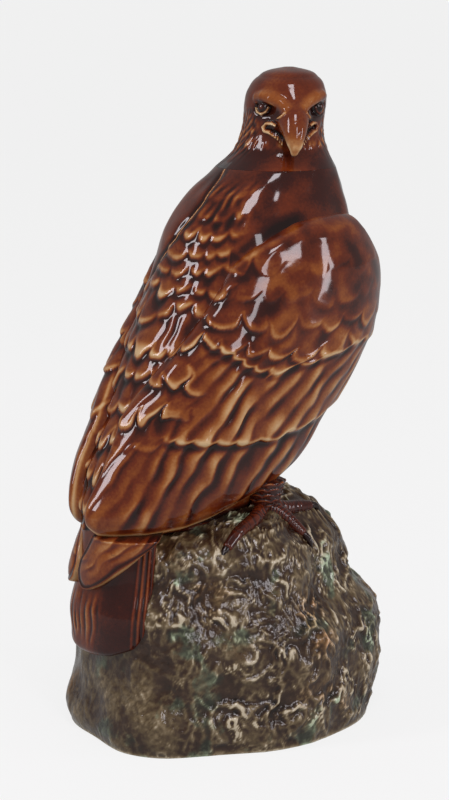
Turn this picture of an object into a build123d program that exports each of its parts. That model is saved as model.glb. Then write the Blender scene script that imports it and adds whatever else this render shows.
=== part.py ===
"""Figural liquor decanter: a glazed earthenware eagle perched on a rock.

Row frame: millimetres, +Z up, +X the way the bird's breast faces, -Y its right side.
The origin is the middle of the rock's flat underside.
The bottle is slip cast hollow, and the eagle's head lifts off as the stopper, on a cork.
Angles round a level slice are degrees from +X, growing towards the bird's right side.
"""
from build123d import *
from math import atan2, cos, degrees, hypot, radians, sin
import os

# Rock
rock_height = 86.0  # plane where the bird stands on the rock
crag_height = 8.5  # how far the rock rises above that plane between the legs
rock_half_length = 64.5
rock_half_width = 56.5
rock_lump = 1.9  # how far the rough lumps stand out and in
rock_wall = 7.0
foot_ring_width = 8.0
foot_recess_depth = 1.2

# Trunk
neck_height = 227.0  # lip of the bottle, and foot of the head, above the table
body_half_length = 54.0
body_half_width = 38.0
body_wall = 5.0

# Wings, wing tips and tail
wing_thickness = 5.0  # of the folded wing, over the trunk
wing_root = 2.5  # how far a wing's edges are drawn inside the trunk before they are cut to it
wing_depth = 5.0  # the same for the middle of a wing
tail_reach = -28.0  # middle of the ovals that the tail and the wing tips follow
tail_half_length = 42.0
tail_half_width = 27.5
tail_root = 2.0  # how far the tail's edges are drawn inside their oval before they are cut
tail_depth = 22.0  # the same for the middle of the tail, where it meets the trunk
tail_bottom = 35.0  # heights above the table
tail_top = 88.0
tip_bottom = 61.0
tip_top = 92.0
tip_thickness = 3.4  # of the long wing feathers, over the tail

# Neck, cork and liquor passage
neck_reach = 28.0  # the neck's axis, forward of the rock's middle
neck_radius = 24.5
bore_radius = 10.5
bore_length = 24.0
cork_clearance = 0.12
cork_length = 32.0
cork_seat_depth = 11.0  # length of cork inside the head
cork_taper = 0.9  # how much smaller the cork's radius is at its foot
cork_chamfer = 0.8
passage_reach = -14.0  # hole through which the liquor runs between trunk and rock
passage_half_length = 19.0
passage_half_width = 14.0

# Head
head_height = 40.0  # above the lip
head_turn = -112.0  # degrees from +X to the way the beak points, anticlockwise from above
skull_half_length = 19.5
skull_half_width = 16.4
skull_lean = 4.0  # how far the skull leans off the neck's axis
skull_lean_turn = -23.0  # degrees from +X to the way that it leans
head_wall = 4.5
beak_reach = 27.0  # hook of the beak, forward of the neck's axis
beak_height = 22.0  # root of the beak, above the lip
beak_half_width = 7.6
beak_half_depth = 8.2
eye_radius = 3.6
brow_radius = 2.6

# Legs and feet
leg_height = 12.0  # of the feathered leg above the rock
leg_radius = 9.0
toe_radius = 3.2
toe_lift = 2.3  # of a toe's middle line over the rock

overrun = 1.0  # how far a cut runs past the face that it opens
oval_points = 12  # points on a smooth level outline
rock_points = 20  # points on a lumpy level outline
edge_points = 9  # points on one side of a wing, tail or wing tip

# Level slices of the trunk, as shares: height of the trunk, then centre, front and back of
# body_half_length, then side of body_half_width. The neck's circle follows the last row.
trunk_shares = (
    (0.00, -0.48, 0.70, 0.67, 0.60),
    (0.08, -0.45, 0.85, 0.69, 0.74),
    (0.18, -0.32, 0.98, 0.75, 0.85),
    (0.28, -0.19, 1.01, 0.75, 0.90),
    (0.45, 0.07, 1.06, 0.84, 0.97),
    (0.61, 0.24, 1.02, 0.82, 1.00),
    (0.73, 0.33, 0.91, 0.78, 0.97),
    (0.83, 0.38, 0.73, 0.75, 0.89),
    (0.92, 0.43, 0.62, 0.62, 0.76),
)
# Level slices of the chamber in the trunk, as shares of the trunk's height.
chamber_shares = (0.06, 0.18, 0.31, 0.45, 0.61, 0.73)
# Level slices of the rock: height of rock_height, centre and half length of rock_half_length,
# half width of rock_half_width.
rock_shares = (
    (0.00, 0.01, 0.99, 1.01),
    (0.05, 0.01, 1.02, 1.03),
    (0.28, 0.06, 1.02, 1.02),
    (0.52, 0.05, 1.00, 0.98),
    (0.66, -0.03, 0.91, 0.89),
    (0.80, -0.03, 0.84, 0.83),
    (0.90, -0.03, 0.80, 0.78),
    (1.00, 0.00, 0.64, 0.62),
)
# The crag between the legs: height of crag_height, then as the rock.
crag_shares = ((0.62, 0.10, 0.44, 0.42), (1.00, 0.20, 0.24, 0.22))
# Level slices of the chamber in the rock, as shares of the rock's height.
hollow_shares = (0.085, 0.28, 0.52, 0.68, 0.84)
# Waves round the rock: how many, share of rock_lump, start and twist over the height in degrees.
lump_shares = ((3, 0.9, 20.0, 60.0), (5, 0.8, 75.0, -90.0), (7, 0.6, 140.0, 130.0))
# A folded wing: height of the trunk, front and rear limits in degrees, thickness.
wing_shares = (
    (0.025, 128.0, 166.0, 0.75),
    (0.055, 84.0, 175.0, 0.95),
    (0.11, 50.0, 179.4, 1.00),
    (0.20, 42.0, 178.0, 1.00),
    (0.31, 36.0, 171.0, 1.00),
    (0.45, 28.0, 158.0, 1.00),
    (0.61, 24.0, 150.0, 1.10),
    (0.73, 24.0, 140.0, 1.20),
    (0.82, 30.0, 118.0, 1.20),
    (0.875, 44.0, 92.0, 0.85),
)
# The tail, from its bottom to its top: height, half spread in degrees, size of its oval, depth.
tail_shares = (
    (0.00, 14.0, 0.86, 0.35),
    (0.06, 30.0, 0.90, 0.38),
    (0.19, 43.0, 0.92, 0.42),
    (0.36, 50.0, 0.93, 0.50),
    (0.58, 54.0, 0.86, 0.50),
    (0.75, 57.0, 0.83, 0.50),
    (0.85, 58.0, 0.81, 0.80),
    (1.00, 58.0, 0.79, 0.80),
)
# A wing tip, from its bottom to its top: height, front and rear limits, size of oval, thickness.
tip_shares = (
    (0.00, 163.0, 176.0, 0.905, 0.70),
    (0.10, 150.0, 179.4, 0.885, 1.00),
    (0.25, 138.0, 179.4, 0.86, 1.00),
    (0.50, 125.0, 179.4, 0.83, 0.90),
    (0.75, 113.0, 179.4, 0.81, 0.75),
    (1.00, 105.0, 179.4, 0.79, 0.50),
)
# Level slices of the head: height of head_height, skull_lean, front and back of
# skull_half_length, side of skull_half_width.
head_shares = (
    (0.13, 0.45, 1.03, 1.05, 1.22),
    (0.30, 0.65, 0.90, 0.95, 1.04),
    (0.47, 0.80, 0.92, 0.93, 0.99),
    (0.63, 0.95, 0.97, 0.95, 1.01),
    (0.78, 1.10, 0.92, 0.90, 0.95),
    (0.90, 1.25, 0.74, 0.72, 0.75),
    (0.975, 1.30, 0.41, 0.41, 0.42),
    (1.00, 1.30, 0.12, 0.12, 0.12),
)
# Rows of head_shares that the hollow in the head follows.
head_hollow_rows = head_shares[1:5]
# The beak from root to hook: reach of beak_reach, height of beak_height, slope down in degrees,
# half width and half depth.
beak_shares = (
    (0.56, 1.00, 5.0, 1.00, 1.00),
    (0.70, 0.97, 20.0, 0.96, 0.97),
    (0.87, 0.84, 45.0, 0.79, 0.79),
    (0.99, 0.61, 76.0, 0.52, 0.52),
    (1.00, 0.34, 98.0, 0.17, 0.19),
)
# A brow from front to rear: reach and side of the skull, height of the head, radius.
brow_shares = ((0.94, 0.28, 0.68, 0.55), (0.60, 0.76, 0.73, 1.00), (0.10, 0.97, 0.77, 0.60))
eye_share = (0.55, 0.76, 0.625)
# A foot: places on the rock as shares of its half length and half width. Each toe runs from the
# ankle through the places given, and radii of toe_radius go with them.
toe_radius_shares = (1.00, 0.95, 0.75, 0.30)
right_ankle_share = (0.13, -0.40)
left_ankle_share = (0.22, 0.30)
right_toe_shares = (
    ((0.22, -0.48), (0.28, -0.53), (0.33, -0.58)),
    ((0.30, -0.38), (0.42, -0.36), (0.52, -0.35)),
    ((-0.03, -0.54), (-0.18, -0.62), (-0.31, -0.68)),
)
left_toe_shares = (
    ((0.38, 0.27), (0.52, 0.25), (0.65, 0.22)),
    ((0.34, 0.40), (0.45, 0.47), (0.56, 0.53)),
    ((0.12, 0.48), (0.05, 0.62), (-0.01, 0.73)),
)

trunk_height = neck_height - rock_height
rock_rows = [(rock_height * row[0], *row[1:]) for row in rock_shares] + [
    (rock_height + crag_height * row[0], *row[1:]) for row in crag_shares
]


def between(rows, height):
    """The sizes at a height, taken evenly between the rows of a table."""
    for low, high in zip(rows, rows[1:]):
        if height <= high[0]:
            part = (height - low[0]) / (high[0] - low[0])
            return [a + part * (b - a) for a, b in zip(low[1:], high[1:])]
    return list(rows[-1][1:])


def turns(count):
    """Angles evenly round a whole outline."""
    return [360.0 * i / count for i in range(count)]


def oval_point(turn, centre, front, back, side, grow=0.0):
    """A point on a level oval with its own front and back, grown outwards by grow."""
    reach = front if cos(radians(turn)) > 0 else back
    return (centre + (reach + grow) * cos(radians(turn)), -(side + grow) * sin(radians(turn)))


def closed_face(points):
    """A face inside one smooth closed curve through the points."""
    with BuildLine() as outline:
        Spline(*points, periodic=True)
    make_face(outline.edges())


def oval_face(oval, grow=0.0):
    """A face inside a whole level oval."""
    closed_face([oval_point(turn, *oval, grow=grow) for turn in turns(oval_points)])


def crescent_face(oval, first, last, thick, root, depth):
    """A face along a level oval from one angle to another.

    Its middle stands out by thick, its ends lie root inside the oval, and the middle of its
    inner edge lies depth inside it.
    """
    outer, inner = [], []
    for step in [i / (edge_points - 1) for i in range(edge_points)]:
        turn = first + step * (last - first)
        swell = (1 - (2 * step - 1) ** 6) ** 0.5
        hollow = 1 - abs(2 * step - 1)
        outer.append(oval_point(turn, *oval, grow=thick * swell - root * (1 - swell)))
        inner.append(oval_point(turn, *oval, grow=-root - (depth - root) * hollow))
    inner[0], inner[-1] = outer[0], outer[-1]
    with BuildLine() as outline:
        Spline(*outer)
        Spline(*inner)
    make_face(outline.edges())


def trunk_oval(share):
    """Centre, front, back and side of the trunk at a share of its height."""
    centre, front, back, side = between(trunk_shares, share)
    return (
        body_half_length * centre,
        body_half_length * front,
        body_half_length * back,
        body_half_width * side,
    )


def trunk_plane(share):
    """The level plane at a share of the trunk's height."""
    return Plane.XY.offset(rock_height + share * trunk_height)


def lump(turn, height):
    """How far the rock's rough surface stands out at an angle and a height."""
    share = min(height / rock_height, 1.0)
    return rock_lump * sum(
        size * sin(radians(count * turn + start + twist * share))
        for count, size, start, twist in lump_shares
    )


def rock_face(height, centre, length, width, grow=0.0):
    """A level slice of the rock, with its lumps."""
    oval = (
        rock_half_length * centre,
        rock_half_length * length,
        rock_half_length * length,
        rock_half_width * width,
    )
    closed_face(
        [oval_point(turn, *oval, grow=grow + lump(turn, height)) for turn in turns(rock_points)]
    )


def rock_surface(x, y):
    """Height of the rock's surface over a place on the table."""
    above = None
    for height, centre, length, width in reversed(rock_rows):
        along = x - rock_half_length * centre
        rough = lump(degrees(atan2(-y / width, along / length)), height)
        out = hypot(
            along / (rock_half_length * length + rough),
            y / (rock_half_width * width + rough),
        )
        if out <= 1:
            if above is None:
                return height
            return height + (above[0] - height) * (1 - out) / (above[1] - out)
        above = (height, out)
    return 0.0


def limb(points, radii):
    """A round limb through the points, square to its own run at each of them."""
    faces = []
    for i, (point, radius) in enumerate(zip(points, radii)):
        run = Vector(*points[min(i + 1, len(points) - 1)]) - Vector(*points[max(i - 1, 0)])
        with BuildSketch(Plane(origin=point, z_dir=run)) as limb_slice:
            Circle(radius)
        faces.append(limb_slice.sketch.faces()[0])
    loft(sections=faces)


def foot(ankle_share, toe_shares):
    """A feathered leg and its toes, gripping the rock."""
    ankle = (rock_half_length * ankle_share[0], rock_half_width * ankle_share[1])
    grip = rock_surface(*ankle)
    limb(
        [(*ankle, grip), (*ankle, grip + leg_height)],
        [leg_radius * toe_radius_shares[2], leg_radius],
    )
    for toe in toe_shares:
        places = [(rock_half_length * x, rock_half_width * y) for x, y in toe]
        points = [(*place, rock_surface(*place) + toe_lift) for place in [ankle, *places]]
        limb(points, [toe_radius * share for share in toe_radius_shares])


def head_point(reach, side, height):
    """A point by its reach along the beak's way, its side to the head's right, and its height.

    The reach and the side count from the middle of the skull, which leans off the neck's axis.
    """
    leans = [(0.0, 0.0)] + [row[:2] for row in head_shares]
    lean = skull_lean * between(leans, height / head_height)[0]
    way, lean_way = radians(head_turn), radians(skull_lean_turn)
    return (
        neck_reach + lean * cos(lean_way) + reach * cos(way) + side * sin(way),
        lean * sin(lean_way) + reach * sin(way) - side * cos(way),
        neck_height + height,
    )


def head_face(height, front, back, side, grow=0.0):
    """A level slice of the head, turned the way the beak points."""
    oval = (
        0.0,
        skull_half_length * front,
        skull_half_length * back,
        skull_half_width * side,
    )
    points = []
    for turn in turns(oval_points):
        reach, across = oval_point(turn, *oval, grow=grow)
        points.append(head_point(reach, across, height)[:2])
    closed_face(points)


def neck_circle(radius):
    """A circle round the neck's axis."""
    with Locations((neck_reach, 0)):
        Circle(radius)


# Whole outer form of the trunk, to which everything that lies on it is cut.
with BuildPart() as trunk_form:
    for row in trunk_shares:
        with BuildSketch(trunk_plane(row[0])):
            oval_face(trunk_oval(row[0]))
    with BuildSketch(Plane.XY.offset(neck_height)):
        neck_circle(neck_radius)
    loft()

# Trunk casting: breast, back and neck, hollow, with the bottle's bore at the top.
with BuildPart() as trunk:
    add(trunk_form.part)
    for share in chamber_shares:
        with BuildSketch(trunk_plane(share)):
            oval_face(trunk_oval(share), grow=-body_wall)
    with BuildSketch(Plane.XY.offset(neck_height - bore_length)):
        neck_circle(bore_radius)
    loft(mode=Mode.SUBTRACT)
    with BuildSketch(Plane.XY.offset(neck_height)):
        neck_circle(bore_radius)
    extrude(amount=-bore_length - overrun, mode=Mode.SUBTRACT)
    with BuildSketch(Plane.XY.offset(rock_height)):
        with Locations((passage_reach, 0)):
            Ellipse(passage_half_length, passage_half_width)
    extrude(amount=trunk_height * chamber_shares[0] + overrun, mode=Mode.SUBTRACT)
trunk.part.label = "trunk"

# Rock casting: a rough hollow block with a closed floor and a foot ring.
with BuildPart() as rock_base:
    for row in rock_rows:
        with BuildSketch(Plane.XY.offset(row[0])):
            rock_face(*row)
    loft()
    for height in [rock_height * share for share in hollow_shares]:
        with BuildSketch(Plane.XY.offset(height)):
            rock_face(height, *between(rock_rows, height), grow=-rock_wall)
    loft(mode=Mode.SUBTRACT)
    with BuildSketch():
        rock_face(*rock_rows[0], grow=-foot_ring_width)
    extrude(amount=foot_recess_depth, mode=Mode.SUBTRACT)
    with BuildSketch(Plane.XY.offset(rock_height + overrun)):
        with Locations((passage_reach, 0)):
            Ellipse(passage_half_length, passage_half_width)
    extrude(amount=rock_height * (hollow_shares[-1] - 1) - 2 * overrun, mode=Mode.SUBTRACT)
    add(trunk_form.part, mode=Mode.SUBTRACT)
rock_base.part.label = "rock_base"

# Folded wings: each lies on the trunk from the breast round to the middle of the back.
with BuildPart() as right_wing:
    for share, first, last, thick in wing_shares:
        with BuildSketch(trunk_plane(share)):
            crescent_face(
                trunk_oval(share), first, last, wing_thickness * thick, wing_root, wing_depth
            )
    loft()
    add(trunk_form.part, mode=Mode.SUBTRACT)
    split(bisect_by=Plane.XZ)
right_wing.part.label = "right_wing"

with BuildPart() as left_wing:
    mirror(right_wing.part, about=Plane.XZ)
left_wing.part.label = "left_wing"

# Tail: draped over the back of the rock, under the wings.
with BuildPart() as tail:
    for share, spread, size, depth in tail_shares:
        with BuildSketch(Plane.XY.offset(tail_bottom + share * (tail_top - tail_bottom))):
            crescent_face(
                (
                    tail_reach,
                    tail_half_length * size,
                    tail_half_length * size,
                    tail_half_width * size,
                ),
                180.0 - spread,
                180.0 + spread,
                0.0,
                tail_root,
                tail_depth * depth,
            )
    loft()
    add(rock_base.part, mode=Mode.SUBTRACT)
    add(trunk_form.part, mode=Mode.SUBTRACT)
tail.part.label = "tail"

# Wing tips: the long flight feathers, over the tail and under the wings.
with BuildPart() as right_wing_tip:
    for share, first, last, size, thick in tip_shares:
        with BuildSketch(Plane.XY.offset(tip_bottom + share * (tip_top - tip_bottom))):
            crescent_face(
                (
                    tail_reach,
                    tail_half_length * size,
                    tail_half_length * size,
                    tail_half_width * size,
                ),
                first,
                last,
                tip_thickness * thick,
                wing_root,
                wing_depth,
            )
    loft()
    add(rock_base.part, mode=Mode.SUBTRACT)
    add(tail.part, mode=Mode.SUBTRACT)
    add(trunk_form.part, mode=Mode.SUBTRACT)
    add(right_wing.part, mode=Mode.SUBTRACT)
    split(bisect_by=Plane.XZ)
right_wing_tip.part.label = "right_wing_tip"

with BuildPart() as left_wing_tip:
    mirror(right_wing_tip.part, about=Plane.XZ)
    add(rock_base.part, mode=Mode.SUBTRACT)
    add(tail.part, mode=Mode.SUBTRACT)
left_wing_tip.part.label = "left_wing_tip"

# Feet: pressed on the rock under the breast.
with BuildPart() as right_foot:
    foot(right_ankle_share, right_toe_shares)
    add(rock_base.part, mode=Mode.SUBTRACT)
    add(trunk_form.part, mode=Mode.SUBTRACT)
    add(right_wing.part, mode=Mode.SUBTRACT)
right_foot.part.label = "right_foot"

with BuildPart() as left_foot:
    foot(left_ankle_share, left_toe_shares)
    add(rock_base.part, mode=Mode.SUBTRACT)
    add(trunk_form.part, mode=Mode.SUBTRACT)
    add(left_wing.part, mode=Mode.SUBTRACT)
left_foot.part.label = "left_foot"

# Head: the stopper, a hollow casting with a beak, brows and eyes, and a seat for the cork.
with BuildPart() as head:
    with BuildSketch(Plane.XY.offset(neck_height)):
        neck_circle(neck_radius)
    for share, lean, front, back, side in head_shares:
        with BuildSketch(Plane.XY.offset(neck_height + share * head_height)):
            head_face(share * head_height, front, back, side)
    loft()
    for share, lean, front, back, side in head_hollow_rows:
        with BuildSketch(Plane.XY.offset(neck_height + share * head_height)):
            head_face(share * head_height, front, back, side, grow=-head_wall)
    loft(mode=Mode.SUBTRACT)
    with BuildSketch(Plane.XY.offset(neck_height)):
        neck_circle(bore_radius)
    extrude(amount=head_height * head_hollow_rows[0][0] + overrun, mode=Mode.SUBTRACT)
    middle = Vector(*head_point(0.0, 0.0, 0.0))
    ahead = Vector(*head_point(1.0, 0.0, 0.0)) - middle
    across = Vector(*head_point(0.0, 1.0, 0.0)) - middle
    beak_faces = []
    for reach, height, slope, width, depth in beak_shares:
        beak_plane = Plane(
            origin=head_point(beak_reach * reach, 0.0, beak_height * height),
            x_dir=across,
            z_dir=ahead * cos(radians(slope)) - Vector(0, 0, 1) * sin(radians(slope)),
        )
        with BuildSketch(beak_plane) as beak_slice:
            Ellipse(beak_half_width * width, beak_half_depth * depth)
        beak_faces.append(beak_slice.sketch.faces()[0])
    loft(sections=beak_faces)
    for hand in (1, -1):
        limb(
            [
                head_point(
                    skull_half_length * reach,
                    hand * skull_half_width * side,
                    head_height * height,
                )
                for reach, side, height, radius in brow_shares
            ],
            [brow_radius * radius for reach, side, height, radius in brow_shares],
        )
        eye_point = head_point(
            skull_half_length * eye_share[0],
            hand * skull_half_width * eye_share[1],
            head_height * eye_share[2],
        )
        with Locations(eye_point):
            Sphere(eye_radius)
head.part.label = "head"

# Cork: tapered towards its foot, a push fit in the neck and in the head.
with BuildPart() as cork:
    for height, taper in (
        (cork_seat_depth, 0.0),
        (0.0, 0.0),
        (cork_seat_depth - cork_length, cork_taper),
    ):
        with BuildSketch(Plane.XY.offset(neck_height + height)):
            neck_circle(bore_radius - cork_clearance - taper)
    loft(ruled=True)
    chamfer(cork.faces().filter_by(GeomType.PLANE).edges(), cork_chamfer)
cork.part.label = "cork"

os.makedirs("parts", exist_ok=True)
for piece in (
    trunk,
    rock_base,
    right_wing,
    left_wing,
    tail,
    right_wing_tip,
    left_wing_tip,
    right_foot,
    left_foot,
    head,
    cork,
):
    export_step(piece.part, f"parts/{piece.part.label}.step")
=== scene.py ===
"""A glazed ceramic liquor decanter: an eagle perched on a rock, whose head is the stopper.

Shapes are worked out in millimetres in the row frame, +Z up and +X the way the breast faces, and
are written to the meshes in metres. Angles round the bird are degrees from +X, growing towards
its right side, as in the CAD model.
"""

import bpy
import numpy as np
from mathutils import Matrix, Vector


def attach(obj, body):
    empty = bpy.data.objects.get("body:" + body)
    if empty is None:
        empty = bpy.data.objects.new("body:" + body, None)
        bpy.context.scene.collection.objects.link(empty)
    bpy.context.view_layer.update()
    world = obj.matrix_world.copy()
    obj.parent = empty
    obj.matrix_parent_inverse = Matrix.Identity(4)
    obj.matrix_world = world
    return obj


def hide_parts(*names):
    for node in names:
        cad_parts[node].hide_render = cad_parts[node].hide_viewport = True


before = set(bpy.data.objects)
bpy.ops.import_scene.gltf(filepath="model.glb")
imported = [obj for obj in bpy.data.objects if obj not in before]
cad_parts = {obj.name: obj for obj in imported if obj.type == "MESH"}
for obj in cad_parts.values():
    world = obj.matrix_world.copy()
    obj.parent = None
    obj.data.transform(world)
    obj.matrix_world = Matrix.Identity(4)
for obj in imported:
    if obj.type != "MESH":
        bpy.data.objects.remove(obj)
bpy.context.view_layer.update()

# Camera
# It stands behind the bird's right wing, a little above its head, as the photograph was taken.
scene = bpy.context.scene
camera = bpy.data.objects.new("camera", bpy.data.cameras.new("camera"))
scene.collection.objects.link(camera)
camera.location = (-0.4745, -0.7648, 0.310)
camera.rotation_euler = np.radians((78.84, 0.0, -32.0))
camera.data.lens = 100.7
camera.data.sensor_width = 36.0
scene.camera = camera


# Rock
# The lower half of the bottle, a slip-cast block of earthenware whose mould was modelled as rough,
# weathered stone. It carries olive, brown and green glazes that ran into each other in the kiln.
def linear(code):
    """A colour's sRGB hex code as linear red, green, blue and alpha."""
    parts = np.array([int(code[i : i + 2], 16) for i in (1, 3, 5)]) / 255.0
    low, high = parts / 12.92, ((parts + 0.055) / 1.055) ** 2.4
    return (*np.where(parts <= 0.04045, low, high).tolist(), 1.0)


def node(tree, kind, inputs=(), stops=(), **settings):
    """A node with its settings. Its inputs are values, or outputs of other nodes to link.

    The stops of a colour ramp are places from 0 to 1 with their hex codes.
    """
    made = tree.nodes.new(kind)
    for name, value in settings.items():
        setattr(made, name, value)
    for name, value in dict(inputs).items():
        if isinstance(value, bpy.types.NodeSocket):
            tree.links.new(value, made.inputs[name])
        else:
            made.inputs[name].default_value = value
    if stops:
        elements = made.color_ramp.elements
        while len(elements) < len(stops):
            elements.new(1.0)
        for element, (place, colour) in zip(elements, stops):
            element.position = place
            element.color = linear(colour)
    return made


def between(rows, at):
    """Sizes between the rows of a table, on cubics that pass through the rows smoothly."""
    rows = np.array(rows, float)
    knots, sizes = rows[:, 0], rows[:, 1:]
    slopes = np.gradient(sizes, knots, axis=0)
    at = np.clip(np.asarray(at, float), knots[0], knots[-1])
    low = np.clip(np.searchsorted(knots, at, "right") - 1, 0, len(knots) - 2)
    step = (knots[low + 1] - knots[low])[..., None]
    t = (at[..., None] - knots[low][..., None]) / step
    return (
        sizes[low] * (1 + 2 * t) * (1 - t) ** 2
        + slopes[low] * step * t * (1 - t) ** 2
        + sizes[low + 1] * t**2 * (3 - 2 * t)
        + slopes[low + 1] * step * t**2 * (t - 1)
    )


def ramp(value, start, end):
    """0 up to start and 1 from end on, straight between them. The end may be below the start."""
    return np.clip((value - start) / (end - start), 0, 1)


def placed(x, y, z):
    """Points from their coordinates."""
    return np.stack(np.broadcast_arrays(x, y, z), -1)


def rough(points, size, seed):
    """Smooth random hills from -1 to 1, with a hill about every size millimetres.

    Each corner of a cubic lattice has a random slope, and a point blends its cell's eight. The
    lattice repeats after 32 cells.
    """
    cells = 32
    slopes = np.random.default_rng(seed).normal(size=(cells, cells, cells, 3))
    slopes /= np.linalg.norm(slopes, axis=-1, keepdims=True)
    cell = np.floor(points / size)
    part = points / size - cell
    fade = part**3 * (part * (part * 6 - 15) + 10)
    total = 0.0
    for corner in np.ndindex(2, 2, 2):
        corner = np.array(corner)
        index = (cell.astype(int) + corner) % cells
        slope = slopes[index[..., 0], index[..., 1], index[..., 2]]
        share = np.prod(np.where(corner, fade, 1 - fade), axis=-1)
        total = total + share * np.sum(slope * (part - corner), axis=-1)
    return total * 1.6  # brings the highest hills near 1


def hills(points, size, seeds):
    """Three sets of hills, as a way to move in x, y and z."""
    return placed(*(rough(points, size, seed) for seed in seeds))


def soften(height, rounds=1):
    """A height map blurred with its neighbours. Its columns run round and meet."""
    for _ in range(rounds):
        height = (np.roll(height, 1, 1) + 2 * height + np.roll(height, -1, 1)) / 4
        ends = np.concatenate([height[:1], height, height[-1:]])
        height = (ends[:-2] + 2 * ends[1:-1] + ends[2:]) / 4
    return height


def raised(points, height):
    """A grid of points moved along its outward normals, the cross product of its two runs."""
    along = np.roll(points, -1, 1) - np.roll(points, 1, 1)
    down = np.gradient(points, axis=0)
    normal = np.cross(along, down)
    normal /= np.maximum(np.linalg.norm(normal, axis=-1, keepdims=True), 1e-9)
    out = np.sum(normal * (points - points.mean((0, 1))))
    return points + normal * np.sign(out) * height[..., None]


lip_height = 227.0  # the level of the seam between the bottle and its stopper
seam_tone, seam_reach = -0.1, 6.0  # the glaze is even beside the seam, for so many millimetres
lowest_pool, highest_pool = -1.0, 0.55


def casting(name, rings, body, slot, material, stands_for=(), tint=0.0, spread=12, mirror=False):
    """A closed smooth shell through rings of points, with a point at each end.

    A point attribute says how far the surface stands above its own blurred copy, in millimetres,
    plus tint: glaze thins and pales where that is high, and gathers and darkens where it is low. On
    the bird's pieces the tint also holds painted shade and painted highlights, shown the same way.
    The copy is blurred in as many rounds as spread says. The tint goes with the first rings, and
    the rings after them are inside.
    """
    rows, columns = rings.shape[:2]
    points = np.concatenate([rings.reshape(-1, 3), [rings[0].mean(0), rings[-1].mean(0)]])
    if mirror:
        points = points * (1, -1, 1)
    here = np.arange(rows * columns).reshape(rows, columns)
    beside = np.roll(here, -1, 1)
    quads = np.stack([here[:-1], beside[:-1], beside[1:], here[1:]], -1).reshape(-1, 4)
    caps = [
        np.stack([beside[0], here[0], np.full(columns, rows * columns)], -1),
        np.stack([here[-1], beside[-1], np.full(columns, rows * columns + 1)], -1),
    ]
    triangles = np.concatenate([quads[:, :3], quads[:, [0, 2, 3]], *caps])
    corners = points[triangles]
    if np.sum(corners[:, 0] * np.cross(corners[:, 1], corners[:, 2])) < 0:
        quads, caps = quads[:, ::-1], [cap[:, ::-1] for cap in caps]
    faces = quads.tolist() + np.concatenate(caps).tolist()
    mesh = bpy.data.meshes.new(name)
    mesh.from_pydata((points / 1000).tolist(), [], faces)
    mesh.polygons.foreach_set("use_smooth", np.ones(len(faces), bool))
    mesh.update()
    edges = np.zeros(len(mesh.edges) * 2, int)
    mesh.edges.foreach_get("vertices", edges)
    edges = edges.reshape(-1, 2)
    start, end = np.concatenate([edges, edges[:, ::-1]]).T  # each edge both ways
    count = np.bincount(start)[:, None]
    blurred = points
    for _ in range(spread):
        total = placed(*(np.bincount(start, part[end]) for part in blurred.T))
        blurred = (blurred + total / count) / 2
    normals = np.zeros(len(points) * 3, np.float32)
    mesh.vertices.foreach_get("normal", normals)
    pooled_glaze_and_painted_light = np.sum((points - blurred) * normals.reshape(-1, 3), -1)
    near_seam = np.clip(1.5 - np.abs(points[:, 2] - lip_height) / seam_reach, 0, 1)
    pooled_glaze_and_painted_light = np.clip(pooled_glaze_and_painted_light, lowest_pool, highest_pool) * (1 - near_seam) + seam_tone * near_seam
    # The tint brings in glaze marks and, on the bird's pieces, painted shade and painted highlights.
    pooled_glaze_and_painted_light[: np.size(tint)] += np.ravel(tint)
    mesh.attributes.new("pooled_glaze_and_painted_light", "FLOAT", "POINT").data.foreach_set("value", pooled_glaze_and_painted_light.astype("f"))
    piece = bpy.data.objects.new(name, mesh)
    scene.collection.objects.link(piece)
    mesh.materials.append(material)
    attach(piece, body)
    if stands_for:
        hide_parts(*stands_for)


rock_half_length, rock_half_width = 64.5, 56.5
stand_height = 86.0  # the level where the trunk starts on the rock
rock_rows = (  # height, then centre, half length and half width as shares
    (0.0, 0.01, 0.99, 1.01),
    (4.3, 0.01, 1.02, 1.03),
    (24.1, 0.06, 1.02, 1.02),
    (44.7, 0.05, 1.00, 0.98),
    (56.8, -0.03, 0.91, 0.89),
    (68.8, -0.03, 0.84, 0.83),
    (77.4, -0.03, 0.80, 0.78),
    (86.0, 0.00, 0.64, 0.62),
    (91.3, 0.10, 0.44, 0.42),
    (94.5, 0.20, 0.24, 0.22),
)
rock_lumps = ((3, 1.7, 20, 60), (5, 1.5, 75, -90), (7, 1.1, 140, 130))  # count, mm, start, twist
foot_recess = 1.2
foot_rings = (  # share of the foot's outline and level: a flat ring, and the floor inside it
    (1.0, 0), (0.93, 0), (0.87, 0), (0.86, foot_recess), (0.45, foot_recess), (0.1, foot_recess)
)
wrinkle_size, wrinkle_height = 7.5, 2.0
fine_size, fine_height = wrinkle_size / 2.4, 0.75
fleck_size, fleck_height = 1.9, 0.35
swell_size, swell_height = 15.0, 1.5
columns, side_rows, top_rows = 620, 118, 24

angle, height = np.meshgrid(
    np.radians(np.linspace(0, 360, columns, endpoint=False)),
    np.concatenate([np.linspace(0.4, stand_height, side_rows), np.linspace(86.6, 94.4, top_rows)]),
)
centre, length, width = np.moveaxis(between(rock_rows, height), -1, 0)
lump = sum(
    size * np.sin(count * angle + np.radians(start + twist * np.minimum(height / stand_height, 1)))
    for count, size, start, twist in rock_lumps
)
rock_skin = placed(
    rock_half_length * centre + (rock_half_length * length + lump) * np.cos(angle),
    -(rock_half_width * width + lump) * np.sin(angle),
    height,
)
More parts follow.
